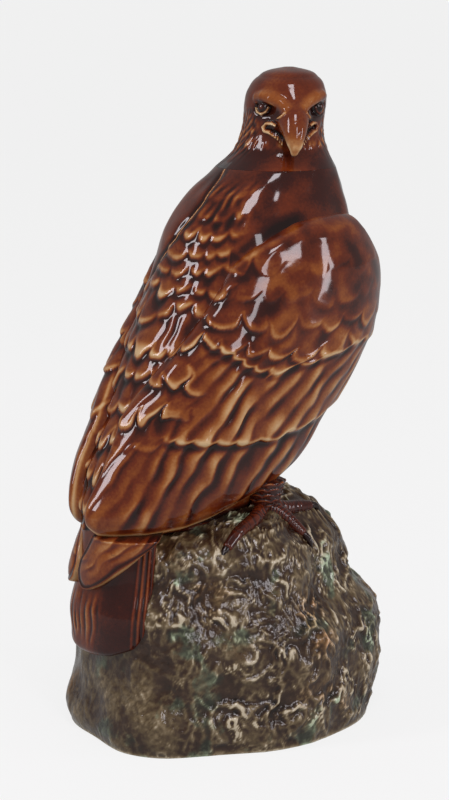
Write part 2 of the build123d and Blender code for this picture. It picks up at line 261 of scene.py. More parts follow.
# Wrinkles: ridges follow the level line of one set of hills, bent by two other sets, and come and
# go with a fourth. They are drawn out downwards, as on weathered wood. Finer ridges and flecks
# follow the same bends, and the back of the rock under the tail is calmer.
bent = rock_skin * (1, 1, 0.7)
bent = bent + 5.0 * hills(rock_skin, 12.0, (1, 2, 3)) + 1.6 * hills(rock_skin, 4.5, (8, 9, 10))
present = np.clip(0.62 + 1.1 * rough(rock_skin, 11.0, 14), 0.05, 1.2)
ridges = present * np.clip(1 - 4.6 * np.abs(rough(bent, wrinkle_size, 4)), 0, 1) ** 1.3
fine_ridges = np.clip(1 - 3.4 * np.abs(rough(bent, fine_size, 5)), 0, 1) ** 1.5
fine_ridges *= np.clip(0.5 + 1.4 * rough(rock_skin, 8.0, 15), 0, 1.2)
swells = rough(rock_skin, swell_size, 6)
flecks = np.clip(1 - 3.0 * np.abs(rough(bent, fleck_size, 7)), 0, 1) ** 1.5
flecks *= np.clip(0.4 + 1.6 * rough(rock_skin, 6.0, 16), 0, 1)
behind = ramp(-rock_skin[..., 0], 22, 36) * ramp(height, 50, 44)
calm = 1 - 0.85 * behind * np.clip(1.4 + rock_skin[..., 1] / 60, 0, 1)
relief = calm * (wrinkle_height * (ridges - 0.3) + fine_height * (fine_ridges - 0.3))
relief += swell_height * swells + fleck_height * (0.3 + 0.7 * calm) * flecks
rock_tint = calm * (0.9 * ridges**3 + 0.8 * fine_ridges**3 - 0.35) - 0.25 * (1 - calm)
rock_tint += 0.55 * (0.4 + 0.6 * calm) * flecks + 0.3 * swells
relief *= np.clip(height / 3, 0.2, 1)
rock_skin = raised(rock_skin, soften(relief))
rock_skin[..., 2] = np.maximum(rock_skin[..., 2], 0.3)  # nothing hangs below the foot
under = [rock_skin[0] * (share, share, 0) + (0, 0, level) for share, level in foot_rings]
rock_rings = np.concatenate([rock_skin[::-1], under])

# Glazes over each other: brown in the hollows, a pale olive that stays on the ridges, and patches
# of copper green and of rusty iron. They are glossy, and grainy at about 3 mm. A noise has one
# hill to each unit of its scale in a metre, so its scale is 1000 over a hill's size in mm.
grain_size, grit_size, green_patch, rust_patch = 3.03, 2.381, 14.7, 29.4
rock_glaze = bpy.data.materials.new("olive_and_brown_rock_glaze")
rock_glaze.use_nodes = True
tree = rock_glaze.node_tree
shader = tree.nodes["Principled BSDF"]
place = node(tree, "ShaderNodeTexCoord").outputs["Object"]
pooled_glaze_and_painted_light = node(tree, "ShaderNodeAttribute", attribute_name="pooled_glaze_and_painted_light").outputs["Fac"]
grain = node(
    tree, "ShaderNodeTexNoise", {"Vector": place, "Scale": 1000 / grain_size, "Detail": 5.0}
)
grained = node(
    tree, "ShaderNodeMath", {0: grain.outputs["Fac"], 1: 1.1, 2: pooled_glaze_and_painted_light}, operation="MULTIPLY_ADD"
)
ridge_share = node(
    tree, "ShaderNodeMapRange", {0: grained.outputs[0], 1: -0.34, 2: 1.52, 3: 0.0, 4: 1.0}
)
stone = node(
    tree,
    "ShaderNodeValToRGB",
    {0: ridge_share.outputs[0]},
    stops=(
        (0.0, "#1a0f09"), (0.28, "#3f2c20"), (0.44, "#635239"), (0.60, "#88765a"),
        (0.80, "#cdbfa4"),
    ),
)
greens = node(
    tree, "ShaderNodeTexNoise", {"Vector": place, "Scale": 1000 / green_patch, "Detail": 4.0}
)
green_share = node(
    tree, "ShaderNodeMapRange", {0: greens.outputs["Fac"], 1: 0.56, 2: 0.64, 3: 0.0, 4: 0.65}
)
with_green = node(
    tree,
    "ShaderNodeMix",
    {"Factor": green_share.outputs[0], 6: stone.outputs[0], 7: linear("#485747")},
    data_type="RGBA",
    blend_type="COLOR",
)
rusts = node(
    tree,
    "ShaderNodeTexNoise",
    {"Vector": place, "Scale": 1000 / rust_patch, "Detail": 4.0, "W": 3.0},
    noise_dimensions="4D",
)
rust_share = node(
    tree, "ShaderNodeMapRange", {0: rusts.outputs["Fac"], 1: 0.56, 2: 0.70, 3: 0.0, 4: 0.55}
)
with_rust = node(
    tree,
    "ShaderNodeMix",
    {"Factor": rust_share.outputs[0], 6: with_green.outputs[2], 7: linear("#6e4418")},
    data_type="RGBA",
    blend_type="COLOR",
)
tree.links.new(with_rust.outputs[2], shader.inputs["Base Color"])
grit = node(
    tree, "ShaderNodeTexNoise", {"Vector": place, "Scale": 1000 / grit_size, "Detail": 3.0}
)
grit_bump = node(
    tree, "ShaderNodeBump", {"Height": grit.outputs["Fac"], "Strength": 0.3, "Distance": 0.0009}
)
tree.links.new(grit_bump.outputs[0], shader.inputs["Normal"])
shader.inputs["Roughness"].default_value = 0.12
shader.inputs["IOR"].default_value = 1.52

glaze = ("rock_glaze", rock_glaze)
casting("rock", rock_rings, "bottle", *glaze, ["rock_base"], tint=rock_tint[::-1], spread=8)

# Trunk
# The upper half of the bottle: breast, back and neck in one slip casting, luted to the rock. The
# liquor stands in its chamber, and the bore in the neck takes the cork.
body_half_length, body_half_width, body_wall = 54.0, 38.0, 5.0
trunk_rows = (  # share of the height, then centre, front, back and side as shares
    (0.00, -0.48, 0.70, 0.67, 0.60),
    (0.08, -0.45, 0.85, 0.69, 0.74),
    (0.18, -0.32, 0.98, 0.75, 0.85),
    (0.28, -0.19, 1.01, 0.75, 0.90),
    (0.45, 0.07, 1.06, 0.84, 0.97),
    (0.61, 0.24, 1.02, 0.82, 1.00),
    (0.73, 0.33, 0.91, 0.78, 0.97),
    (0.83, 0.38, 0.73, 0.75, 0.89),
    (0.92, 0.43, 0.62, 0.62, 0.76),
    (1.00, 0.5185, 0.4537, 0.4537, 0.6447),
)
neck_reach, lip_radius, bore_radius, bore_foot = 28.0, 24.4, 10.5, 203.0
bore_rings = (  # radius and level, over the flat lip, round its inner edge and down the bore
    (lip_radius, lip_height), (18.0, lip_height), (bore_radius + 0.5, lip_height),
    (bore_radius, lip_height - 0.5), (bore_radius, 215.0), (bore_radius, bore_foot),
)
chamber_levels = (200.0, 190.0, 172.0, 150.0, 130.0, 111.0, 95.0)
mantle_pitch, breast_pitch, hackle_pitch = 13.5, 14.0, 7.5  # degrees from feather to feather
breast_row = 11.0  # mm from row to row
back_edge = np.array([  # height and turn of the fold between the back and the left shoulder
    (181, 207), (188.5, 197), (195, 186.5), (200.5, 179), (206, 175), (209, 171.5), (215.5, 170),
    (221.5, 174), (227, 180),
])


def trunk_point(turn, height, grow=0.0):
    """A point on the trunk: an oval at that height with its own centre, front, back and side.

    Its distance from the oval's middle is the oval's reach plus grow, and turn is in degrees.
    """
    share = (height - stand_height) / (lip_height - stand_height)
    centre, front, back, side = np.moveaxis(between(trunk_rows, share), -1, 0)
    angle = np.radians(turn)
    reach = body_half_length * np.where(np.cos(angle) > 0, front, back)
    return placed(
        body_half_length * centre + (reach + grow) * np.cos(angle),
        -(body_half_width * side + grow) * np.sin(angle),
        height,
    )


def band(value, middle, width):
    """1 where value is middle, falling off to both sides over width as a bell curve."""
    return np.exp(-(((value - middle) / width) ** 2))


def beyond(value, width):
    """From 0 where value is below 0 to 1 where it is above, turning over within about width."""
    return 1 / (1 + np.exp(-np.clip(value / width, -50, 50)))


def shingle(column, row, drop=0.62):
    """Overlapping feathers: round tongues in rows, every other row half a feather aside.

    A tongue's tip hangs drop rows below its row, as half an ellipse. The height is 0 at a
    tongue's root and 1 at its tip, less a little towards its two sides, plus a lip along its
    edge. The tone is pale along that lip and dark in the pocket that the edge overhangs.
    """
    line = np.floor(row)
    part = row - line
    upper = (column + 0.5 * ((line - 1) % 2)) % 1 - 0.5
    own = (column + 0.5 * (line % 2)) % 1 - 0.5
    tip = drop * np.sqrt(np.clip(1 - (2 * upper) ** 2, 0, 1))
    on_upper = part < tip
    long = 1 + drop
    height_upper = (1 + part) / long - 0.3 * (2 * upper) ** 2
    height_own = part / long - 0.3 * (2 * own) ** 2
    past = part - tip
    lip = band(past, -0.14, 0.11)
    pocket = band(np.maximum(past, 0), 0, 0.34)
    height = np.where(on_upper, height_upper + 0.22 * lip, height_own - 0.12 * pocket)
    return height - 0.45, np.where(on_upper, lip - 0.12, -0.75 * pocket + 0.1)


def mantle_feathers(turn, height, points):
    """Overlapping feathers on the back, larger and looser towards the tail: height and tone."""
    line = -np.interp(height, (90, 145, 175, 190, 227), (-1.6, 2.6, 5.0, 7.0, 12.0))
    size = 0.7 + 0.3 * ramp(height, 190, 160)
    feather, tone = shingle(
        turn / mantle_pitch + 0.7 * rough(points, 17, 11) + 0.25 * rough(points, 8, 16),
        line + 0.6 * rough(points, 15, 15),
        0.52,
    )
    worn = np.clip(0.85 + 1.1 * rough(points, 7, 17), 0.3, 1.3)
    return size * feather, worn * tone


turn, height = np.meshgrid(
    np.linspace(0, 360, 420, endpoint=False), np.linspace(86.0, 226.8, 186)
)
trunk_skin = trunk_point(turn, height)
away = np.abs(turn - 180)  # degrees from the middle of the back
from_breast = np.minimum(turn, 360 - turn)
back = ramp(away, 56, 44) * ramp(height, 224, 202)
# The back rounds off into a fold, and the smooth left shoulder rises beyond it.
past_edge = 0.75 * (turn - np.interp(height, *back_edge.T))  # mm, at 0.75 mm to a degree
shoulder = ramp(height, 178, 186)
fold = np.where(past_edge < 0, np.clip(1 + past_edge / 5, 0, 1) ** 2, np.exp(-past_edge / 1.2))
back *= 1 - shoulder * beyond(past_edge, 0.5)
mantle, mantle_tone = mantle_feathers(turn, height, trunk_skin)
breast, breast_tone = shingle(
    turn / breast_pitch, -height / breast_row + 0.3 * rough(trunk_skin, 25, 12)
)
front = ramp(from_breast, 48, 40) * ramp(height, 205, 185)
folds = np.sin(np.radians(turn * 9) + 2.5 * rough(trunk_skin, 16, 13))
neck = ramp(height, 200, 210) * ramp(height, 226, 220)
# Long narrow hackles run down the side of the neck from the cheek.
hackle_zone = ramp(height, 200, 208) * ramp(height, 226, 218)
hackle_zone *= ramp(turn, 122, 142) * np.clip(-past_edge / 1.5, 0, 1)
hackle_zone *= np.clip(0.45 + 1.3 * rough(trunk_skin, 7, 19), 0.1, 1)
wave = turn / hackle_pitch + 0.02 * height + 0.5 * rough(trunk_skin, 11, 18)
hackles = np.cos(2 * np.pi * wave)
relief = (
    1.5 * back * mantle
    + 0.7 * front * breast
    + 0.35 * neck * folds
    + 0.25 * rough(trunk_skin, 12, 14) * (1 - back)
    - 1.7 * shoulder * fold
    + 0.2 * hackle_zone * hackles
)
relief = soften(relief, 3) * ramp(height, 226.5, 223.5)
trunk_skin = raised(trunk_skin, relief)
# Painted shade darkens the foot of the trunk under the wings and both sides of the fold, a painted
# shadow runs along the wings' upper edges, and a painted reflection along the fold's edge. The neck
# is darker, most at its front, and glaze is thin on the hackles.
wing_top = np.interp(from_breast, (80, 97, 111, 123, 133), (209, 209, 205, 200, 194))
trunk_tint = (
    0.2 * relief
    + 0.5 * soften(back * mantle_tone + 0.6 * front * breast_tone)
    # painted shade at the foot of the trunk, under the wings
    - 0.8 * ramp(height, 94, 90)
    # painted shadow along the wings' upper edges
    - 0.45 * ramp(from_breast, 88, 96) * (away > 46) * band(height, wing_top, 2.8)
    - 0.22 * ramp(height, 196, 210) * (0.45 + 0.55 * ramp(away, 40, 60))
    + 0.28 * hackle_zone * hackles
    - 0.08 * back
    # a painted reflection along the fold's edge, and painted shade on both sides of the fold
    + 1.4 * shoulder * band(past_edge, -0.3, 0.6)
    - 0.3 * shoulder * band(past_edge, -3.5, 2)
    - 0.45 * shoulder * (past_edge > 0) * np.exp(-np.maximum(past_edge, 0) / 4)
)
angle = np.radians(turn[0])
circle = placed(np.cos(angle), -np.sin(angle), 0)
bore = [circle * radius + (neck_reach, 0, level) for radius, level in bore_rings]
chamber = trunk_point(*np.meshgrid(turn[0], chamber_levels), -body_wall)
trunk_rings = np.concatenate([trunk_skin, bore, chamber])

# Earthenware under a clear glaze tinted with iron and manganese: honey where it is thin, chestnut
# over the flats, near black where it gathered in the hollows. It has the gloss of glass, and
# faint waves. Clouds and specks vary its thickness.
cloud_size, speck_size, wave_size = 12.5, 1.111, 6.25
feather_glaze = bpy.data.materials.new("tortoiseshell_brown_glaze")
feather_glaze.use_nodes = True
tree = feather_glaze.node_tree
shader = tree.nodes["Principled BSDF"]
place = node(tree, "ShaderNodeTexCoord").outputs["Object"]
# This attribute holds the glaze's depth together with painted shade and painted highlights.
pooled_glaze_and_painted_light = node(tree, "ShaderNodeAttribute", attribute_name="pooled_glaze_and_painted_light").outputs["Fac"]
clouds = node(
    tree, "ShaderNodeTexNoise", {"Vector": place, "Scale": 1000 / cloud_size, "Detail": 3.0}
)
clouded = node(
    tree, "ShaderNodeMath", {0: clouds.outputs["Fac"], 1: 0.5, 2: pooled_glaze_and_painted_light}, operation="MULTIPLY_ADD"
)
specks = node(
    tree, "ShaderNodeTexNoise", {"Vector": place, "Scale": 1000 / speck_size, "Detail": 2.0}
)
specked = node(
    tree,
    "ShaderNodeMath",
    {0: specks.outputs["Fac"], 1: 0.22, 2: clouded.outputs[0]},
    operation="MULTIPLY_ADD",
)
thin = node(
    tree, "ShaderNodeMapRange", {0: specked.outputs[0], 1: -0.27, 2: 1.13, 3: 0.0, 4: 1.0}
)
chestnut = node(
    tree,
    "ShaderNodeValToRGB",
    {0: thin.outputs[0]},
    stops=(
        (0.0, "#1c0806"), (0.22, "#3b120a"), (0.40, "#6c2a10"), (0.56, "#94501f"),
        (0.74, "#bd8550"), (1.0, "#dcb98a"),
    ),
)
tree.links.new(chestnut.outputs[0], shader.inputs["Base Color"])
waves = node(
    tree, "ShaderNodeTexNoise", {"Vector": place, "Scale": 1000 / wave_size, "Detail": 1.0}
)
bump = node(
    tree, "ShaderNodeBump", {"Height": waves.outputs["Fac"], "Strength": 0.07, "Distance": 0.001}
)
tree.links.new(bump.outputs[0], shader.inputs["Normal"])
shader.inputs["Roughness"].default_value = 0.07
shader.inputs["IOR"].default_value = 1.52

brown = ("feather_glaze", feather_glaze)  # a name and the material of the bird's castings
casting("body", trunk_rings, "bottle", *brown, ["trunk"], tint=trunk_tint)

# Wings
# Each folded wing was pressed in its own mould and luted on the trunk before the first firing. Its
# coverts overlap in two scalloped steps, and long slanting feathers run down from each step.
wing_outline = np.array([  # turn and height round the wing, from its shoulder over its rear edge
    (44, 209), (62, 210), (82, 209.5), (97, 208), (111, 203), (123, 198), (133, 192), (139, 180),
    (145, 168), (152, 158), (160, 148), (167, 139), (170, 130), (168, 120), (167, 110), (168, 97),
    (165, 89), (155, 85.5), (139, 85.5), (118.5, 85.8), (100, 86), (84, 89), (63, 96), (48, 99),
    (38, 106), (33, 118), (28, 135), (25, 155), (24, 175), (26, 190), (32, 202),
])
wing_middle = (98, 148)
covert_edge = np.array([  # turn and height of the edge of the upper feathers, and of the lower
    (24, 160), (35.5, 159), (54.5, 158.5), (66, 156), (77.5, 153.5), (92, 152.5), (108, 155),
    (121, 160), (140, 168),
])
lower_edge = np.array([
    (24, 133), (37, 131), (51, 127), (73, 123), (87, 123), (101.5, 124), (121.5, 124.5),
    (137.5, 127), (170, 133),
])
wing_thick = np.array([  # height and thickness
    (86, 3.6), (94, 4.75), (102, 5.0), (150, 5.0), (172, 5.5), (189, 6.0), (202, 6.0), (212, 4.2),
])
wing_root = 2.5  # how deep its rim is set into the trunk
covert_pitch, feather_pitch, fan_pitch = 13.5, 12.0, 10.8  # degrees from feather to feather
covert_row, step_height = 11.5, 1.1
degree = 0.85  # the length of a degree round the body in mm, for distances from a rim


def lengths(corners):
    """The way from the first corner of a line to each of its corners, along the line."""
    steps = np.linalg.norm(np.diff(corners, axis=0), axis=1)
    return np.concatenate([[0], np.cumsum(steps)])


def patch_grid(outline, columns, rows, middle):
    """Turn, height and distance to the rim in mm over a rounded outline, from middle outwards.

    A column runs straight from the middle to the outline, which is smoothed through its corners,
    and the rows crowd towards the rim.
    """
    outline = np.concatenate([outline, outline[:1]])
    length = lengths(outline * (degree, 1))
    evenly = np.linspace(0, length[-1], columns, endpoint=False)
    rim = np.stack([np.interp(evenly, length, outline[:, axis]) for axis in (0, 1)], -1)
    for _ in range(12):
        rim = (np.roll(rim, 1, 0) + 2 * rim + np.roll(rim, -1, 0)) / 4
    share = np.sin(np.linspace(0.02, 1, rows) * np.pi / 2)[:, None]
    spoke = rim - middle
    inset = (1 - share) * np.hypot(*(spoke * (degree, 1)).T)
    grid = np.array(middle) + share[..., None] * spoke
    return grid[..., 0], grid[..., 1], inset


def underneath(turn, height, middle):
    """Turn and height of the rings under a patch, from near its rim back to its middle."""
    share = np.linspace(0.96, 0.05, 8)[:, None]
    return middle[0] + share * (turn[-1] - middle[0]), middle[1] + share * (height[-1] - middle[1])


def rounded(inset, rim_width):
    """From 0 at the rim to 1 inside it, as a quarter of a circle rim_width wide."""
    return np.sqrt(np.clip(1 - (1 - np.clip(inset / rim_width, 0, 1)) ** 2, 0, 1))


def quills(count, groove=0.24):
    """Long feathers side by side, one for each whole number, from -1 to 1.

    Each rises steeply from a groove to a crisp edge, and falls away slowly to the next groove.
    """
    part = count % 1
    rise = np.clip(part / groove, 0, 1)
    fall = np.clip((part - groove) / (1 - groove), 0, 1)
    return np.where(part < groove, -0.8 + 1.8 * rise**3, 1 - 1.8 * fall**1.7)


turn, height, inset = patch_grid(wing_outline, columns=560, rows=150, middle=wing_middle)
flat = trunk_point(turn, height)
# Each row's edge is scalloped by the tips of its feathers, and the rows below fan out from it.
sway = rough(flat, 18, 21) + 0.5 * rough(flat, 8, 25)
slant = np.interp(turn, (40, 80, 115, 128, 140, 165), (-0.15, -0.08, -0.08, -0.2, -0.5, -0.7))
slanted = (turn - slant * (height - 100)) / feather_pitch + 0.35 * sway
tips = 1.1 * np.abs((2 * (slanted % 1) - 1)) ** 2 - 1.2 * rough(flat, 11, 26)
above_lower = height - np.interp(turn, *lower_edge.T) + 1.0 - tips
fanned = (turn + 0.022 * np.clip(height - 127, 0, 40) ** 2) / fan_pitch + 0.35 * sway
tips = 1.4 * np.abs((2 * (fanned % 1) - 1)) ** 2 - 1.6 * rough(flat, 12, 27)
above_covert = height - np.interp(turn, *covert_edge.T) + 2.4 - tips
on_lower = beyond(above_lower, 0.22)
on_covert = beyond(above_covert, 0.22)
rear = ramp(turn, 140, 130)
coverts, covert_tone = shingle(
    turn / covert_pitch + 0.4 * sway, -height / covert_row + 0.5 * rough(flat, 17, 22)
)
covert_size = np.clip((182 - height) / 24, 0.14, 1) + np.clip((turn - 112) / 20, 0, 0.4)
covert_size *= ramp(height, 205, 193)
long_feathers = soften(np.where(on_lower > 0.5, quills(fanned), quills(slanted)), 2)
worn = np.clip(0.75 + 1.0 * rough(flat * (1, 1, 0.5), 9, 24), 0.15, 1.3)
long_size = worn * np.where(on_lower > 0.5, np.clip((152 - turn) / 20, 0.3, 1), 0.35 + 0.65 * rear)
long_size *= np.clip((inset - 1.5) / 5, 0.1, 1)
steps = rear * on_lower * np.exp(-np.maximum(above_lower, 0) / 10)
steps += rear * on_covert * np.exp(-np.maximum(above_covert, 0) / 9)
relief = (
    0.34 * (1 - on_covert) * long_feathers * long_size
    + 0.6 * on_covert * coverts * covert_size
    + step_height * (steps - 0.6 * rear * (1 - on_lower) - 0.3)
)
# Glaze is thin on each edge that overhangs the next feathers. The corner below it is darkened as
# painted shadow of that edge, where glaze also gathers.
edge_glaze_and_shadow = sum(
    0.6 * band(above, 0.7, 0.6) - 0.4 * band(above, -1.6, 1.4)
    for above in (above_lower, above_covert)
)
# Pale where glaze thins on the wing's lower rim, and a painted highlight along its upper rim.
rim_glaze_and_highlight = 0.6 * band(inset, 2.2, 0.8) * ramp(height, 150, 138)
rim_glaze_and_highlight += 0.25 * band(inset, 2.0, 1.0) * ramp(height, 186, 194) * ramp(turn, 94, 104)
wing_tone = (
    (1 - on_covert) * 0.45 * long_feathers * long_size
    + on_covert * (0.5 * worn * covert_tone * np.clip(covert_size, 0, 0.9) - 0.1)
    + on_covert * (0.25 * rough(flat * (1, 1, 1.4), 11, 28) + 0.22 * rough(flat, 5.5, 29))
    + rear * edge_glaze_and_shadow
)
scapular = ramp(turn, 122, 136) * ramp(height, 118, 132) * ramp(height, 206, 198)
mantle, mantle_tone = mantle_feathers(turn, height, flat)
relief += scapular * (1.4 * mantle - relief)
wing_tone += scapular * (0.5 * mantle_tone - 0.08 - wing_tone)
relief = soften(relief, 2) * ramp(inset, 0, 4)
wing_tint = soften(wing_tone + rim_glaze_and_highlight) + 0.15 * relief
thick = np.interp(height, *wing_thick.T)
blended = ramp(turn, 112, 126) * ramp(height, 132, 144) * ramp(height, 200, 190)
rim = rounded(inset, 6.0 + 9.0 * blended)
swell = thick * rim - wing_root * (1 - rim) + relief


def flare(turn, height):
    """How far the wing's lower rear corner stands out over the flight feathers, in mm."""
    low = ramp(height, 112, 90)
    aft = ramp(turn, 100, 126)
    return 4.5 * (low * aft) ** 2 * (3 - 2 * low * aft)


inner_turn, inner_height = underneath(turn, height, wing_middle)
for side, flared in (("right", 1), ("left", 0)):  # the tail under the right wing spreads wider
    wing_skin = trunk_point(turn, height, swell + flared * flare(turn, height))
    inner = flared * flare(inner_turn, inner_height) - wing_root - 0.5
    wing_rings = np.concatenate([wing_skin, trunk_point(inner_turn, inner_height, inner)])
    name, mirror = f"{side}_folded_wing", side == "left"
    casting(name, wing_rings, "bottle", *brown, [f"{side}_wing"], tint=wing_tint, mirror=mirror)

# Tail
# The fanned tail feathers hang over the back of the rock, pressed with the trunk's casting. Thin
# edges of feathers lie over each other at its sides.
tail_reach, tail_half_length = -28.0, 42.0
tail_right_width, tail_left_width = 36.0, 28.0
tail_right_fullness, tail_left_fullness = 3.0, 2.0
tail_sizes = np.array([  # height and the oval's size as a share
    (35, 0.86), (38, 0.90), (45, 0.92), (54, 0.93), (66, 0.86), (75, 0.83), (80, 0.81), (92, 0.79),
])
tail_outline = np.array([  # turn and height
    (180, 36), (192, 36.6), (206, 39), (218, 42), (229, 46), (234, 56), (236, 70), (238, 86),
    (205, 90), (180, 91), (155, 90), (122, 86), (124, 70), (126, 60), (129, 47), (136, 42),
    (152, 38), (168, 36.4),
])
tail_middle, tail_root = (180, 64), 2.0
plume_pitch, side_pitch = 5.6, 3.4  # degrees from feather to feather, behind and at the sides


def tail_point(turn, height, grow=0.0):
    """A point on the full oval that the tail follows at that height, grown by grow.

    The oval is |x / length| ** fullness + |y / width| ** fullness = 1 about its own middle. The
    tail is spread wider and fuller to the right.
    """
    size = between(tail_sizes, height)[..., 0]
    angle = np.radians(turn)
    width = np.where(turn < 180, tail_right_width, tail_left_width)
    fullness = np.where(turn < 180, tail_right_fullness, tail_left_fullness)
    across = np.abs(np.cos(angle)) / (tail_half_length * size + grow)
    aside = np.abs(np.sin(angle)) / (width * size + grow)
    reach = (across**fullness + aside**fullness) ** (-1 / fullness)
    return placed(tail_reach + reach * np.cos(angle), -reach * np.sin(angle), height)


turn, height, inset = patch_grid(tail_outline, columns=400, rows=90, middle=tail_middle)
beside = np.abs(turn - 180) - 0.10 * (height - 60)  # degrees off the tail's middle
plain = tail_point(turn, height)
plumes = quills(beside / plume_pitch + 0.4 * rough(plain, 10, 32))
plumes *= ramp(beside, 26, 18) * ramp(height, 64, 56)
plumes *= np.clip(0.5 + 1.3 * rough(plain, 9, 33), 0.1, 1)
side_lines = -np.cos(2 * np.pi * (beside - 43) / side_pitch) * ramp(beside, 43, 45)
over_edge = ramp(height, 38, 43)
relief = soften(0.25 * plumes + 0.35 * side_lines) * over_edge
tail_tone = 0.35 * plumes + 0.12 * side_lines * over_edge - 0.12
tail_tone -= 0.12 * ramp(beside, 42, 45) + 0.28 * ramp(beside, 18, 26) * ramp(beside, 46, 43)
swell = -tail_root * (1 - rounded(inset, 3.0)) + relief * ramp(inset, 0, 1.2)
tail_skin = tail_point(turn, height, swell)
inner = tail_point(*underneath(turn, height, tail_middle), -tail_root - 2.5)
tail_rings = np.concatenate([tail_skin, inner])
casting("tail_feathers", tail_rings, "bottle", *brown, ["tail"], tint=soften(tail_tone))

# Wing tips
# The longest flight feathers reach out from under each wing and lie on the tail, in the same
# pressing as the wing.
tip_outline = np.array([  # turn and height
    (106, 93), (114, 89.5), (121, 84.5), (131, 79.5), (140, 74.5), (148, 70.5), (157, 66.5),
    (166, 63.7), (172, 63.2), (177, 65.5), (179.4, 69.5), (178.6, 74), (173, 80), (168, 86),
    (166, 94), (140, 96),
])
tip_middle = (148, 81)
tip_thick, tip_crown, tip_root = 3.2, 0.9, 2.0


def tucked_in(height, drawn_in):
    """How far in the feathers lie at a height, in mm.

    They slope in under the wing's lower edge, and below it by drawn_in on the way up.
    """
    return 2.5 * np.clip(height - 85.5, 0, 5) + drawn_in * ramp(height, 69, 85)


turn, height, inset = patch_grid(tip_outline, columns=300, rows=60, middle=tip_middle)
plain = tail_point(turn, height)
barbs = quills((turn + 1.5 * (height - 80)) / 11 + 0.5 * rough(plain, 9, 34))
barbs *= ramp(inset, 2.5, 5) * np.clip(0.4 + 1.4 * rough(plain, 8, 35), 0, 1)
relief = 0.45 * band(inset, 1.2, 0.8) - 0.35 * band(inset, 3.2, 1.2)
relief = soften(relief + 0.12 * barbs + 0.3 * rough(plain, 9, 31))
rim = rounded(inset, 2.6)
swell = tip_thick * rim - tip_root * (1 - rim) + relief * rounded(inset, 2)
swell += tip_crown * ramp(inset, 0, 12)
tip_tone = 0.6 * band(inset, 0.8, 0.6) - 0.45 * band(inset, 2.8, 1.2)
# barbs pale the glaze; the darker top is painted shade where the tips pass under the wing's edge
tip_tone += 0.25 * barbs - 0.5 * ramp(height, 84, 88)
tip_tint = soften(tip_tone)
inner_turn, inner_height = underneath(turn, height, tip_middle)
for side, drawn_in in (("right", 0.0), ("left", 2.8)):
    if side == "left":
        turn, inner_turn = 360 - turn, 360 - inner_turn
    tip_skin = tail_point(turn, height, swell - tucked_in(height, drawn_in))
    depth = tip_root + 0.4 + tucked_in(inner_height, drawn_in)
    tip_rings = np.concatenate([tip_skin, tail_point(inner_turn, inner_height, -depth)])
    name = f"{side}_flight_feathers"
    casting(name, tip_rings, "bottle", *brown, [f"{side}_wing_tip"], tint=tip_tint)

# Cork
# A tapered stopper cork with a small chamfer at each end, glued into the head and pushed into the
# bore of the neck. It was punched from bark, so its side shows pores and darker veins.
cork_profile = np.array([  # level and radius, from the middle of its foot to that of its top
    (195.0, 0.5), (195.0, 8.8), (195.8, 9.5), (206.0, 9.8), (218.0, 10.1), (228.0, 10.35),
    (237.2, 10.35), (238.0, 9.6), (238.0, 0.5),
])
pit_size, pit_depth = 2.2, 0.5
length = lengths(cork_profile)
evenly = np.linspace(0, length[-1], 120)
level = np.interp(evenly, length, cork_profile[:, 0])[:, None]
radius = np.interp(evenly, length, cork_profile[:, 1])[:, None]
angle = np.radians(np.linspace(0, 360, 160, endpoint=False))
cork_skin = placed(neck_reach + radius * np.cos(angle), radius * np.sin(angle), level)
pits = np.clip(rough(cork_skin, pit_size, 41) - 0.35, 0, 1) * (radius > 9.4)
cork_skin = raised(cork_skin, -pit_depth * pits)

# Natural cork, sanded: dry and matt, tan with brown pores of one to two millimetres.
pore_size = 1.818
bark = bpy.data.materials.new("natural_cork")
bark.use_nodes = True
tree = bark.node_tree
shader = tree.nodes["Principled BSDF"]
place = node(tree, "ShaderNodeTexCoord").outputs["Object"]
pores = node(
    tree, "ShaderNodeTexNoise", {"Vector": place, "Scale": 1000 / pore_size, "Detail": 5.0}
)
tan = node(
    tree,
    "ShaderNodeValToRGB",
    {0: pores.outputs["Fac"]},
    stops=((0.30, "#5a3a20"), (0.42, "#a37b4e"), (0.60, "#c9a476"), (0.75, "#b58c5c")),
)
tree.links.new(tan.outputs[0], shader.inputs["Base Color"])
grain_bump = node(
    tree, "ShaderNodeBump", {"Height": pores.outputs["Fac"], "Strength": 0.4, "Distance": 0.0004}
)
tree.links.new(grain_bump.outputs[0], shader.inputs["Normal"])
shader.inputs["Roughness"].default_value = 0.85
casting("stopper_cork", cork_skin, "cork", "cork", bark, ["cork"])

# Head
# The stopper: a hollow slip casting with a heavy brow, deep-set eyes and a hooked beak, turned
# over the right shoulder. It sits on the neck's lip and turns on its cork.
head_turn = -112.0  # the beak's way in degrees from +X, to the left if above 0
lean_size, lean_turn = 4.0, -23.0  # mm and degrees of the skull's lean off the neck's axis
eye_height, skull_top, foot_radius = 22.0, 40.0, 24.5
strand_size, tuft_size, nape_pitch = 1.3, 1.8, 11.0  # mm, mm and degrees from ridge to ridge
skull_half_length, skull_half_width = 19.5, 16.4
skull_rows = (  # height over the lip, lean, then front, back and side as shares
    (0.0, 0.0, 1.256, 1.256, 1.494),
    (5.2, 0.45, 1.03, 1.05, 1.22),
    (12.0, 0.65, 0.90, 0.95, 1.04),
    (18.8, 0.80, 0.92, 0.93, 0.99),
    (25.2, 0.95, 0.97, 0.95, 1.01),
    (31.2, 1.10, 0.92, 0.90, 0.95),
    (36.0, 1.25, 0.74, 0.72, 0.75),
    (39.0, 1.30, 0.41, 0.41, 0.42),
    (40.0, 1.30, 0.12, 0.12, 0.12),
)
beak_chain = np.array([  # reach, height over the lip, radius
    (6.0, 20.5, 7.6), (13.0, 20.6, 7.2), (17.5, 19.9, 6.6), (21.0, 18.2, 5.8), (23.8, 15.8, 4.8),
    (25.6, 13.0, 3.7), (26.5, 10.2, 2.6), (26.9, 7.7, 1.6),
])


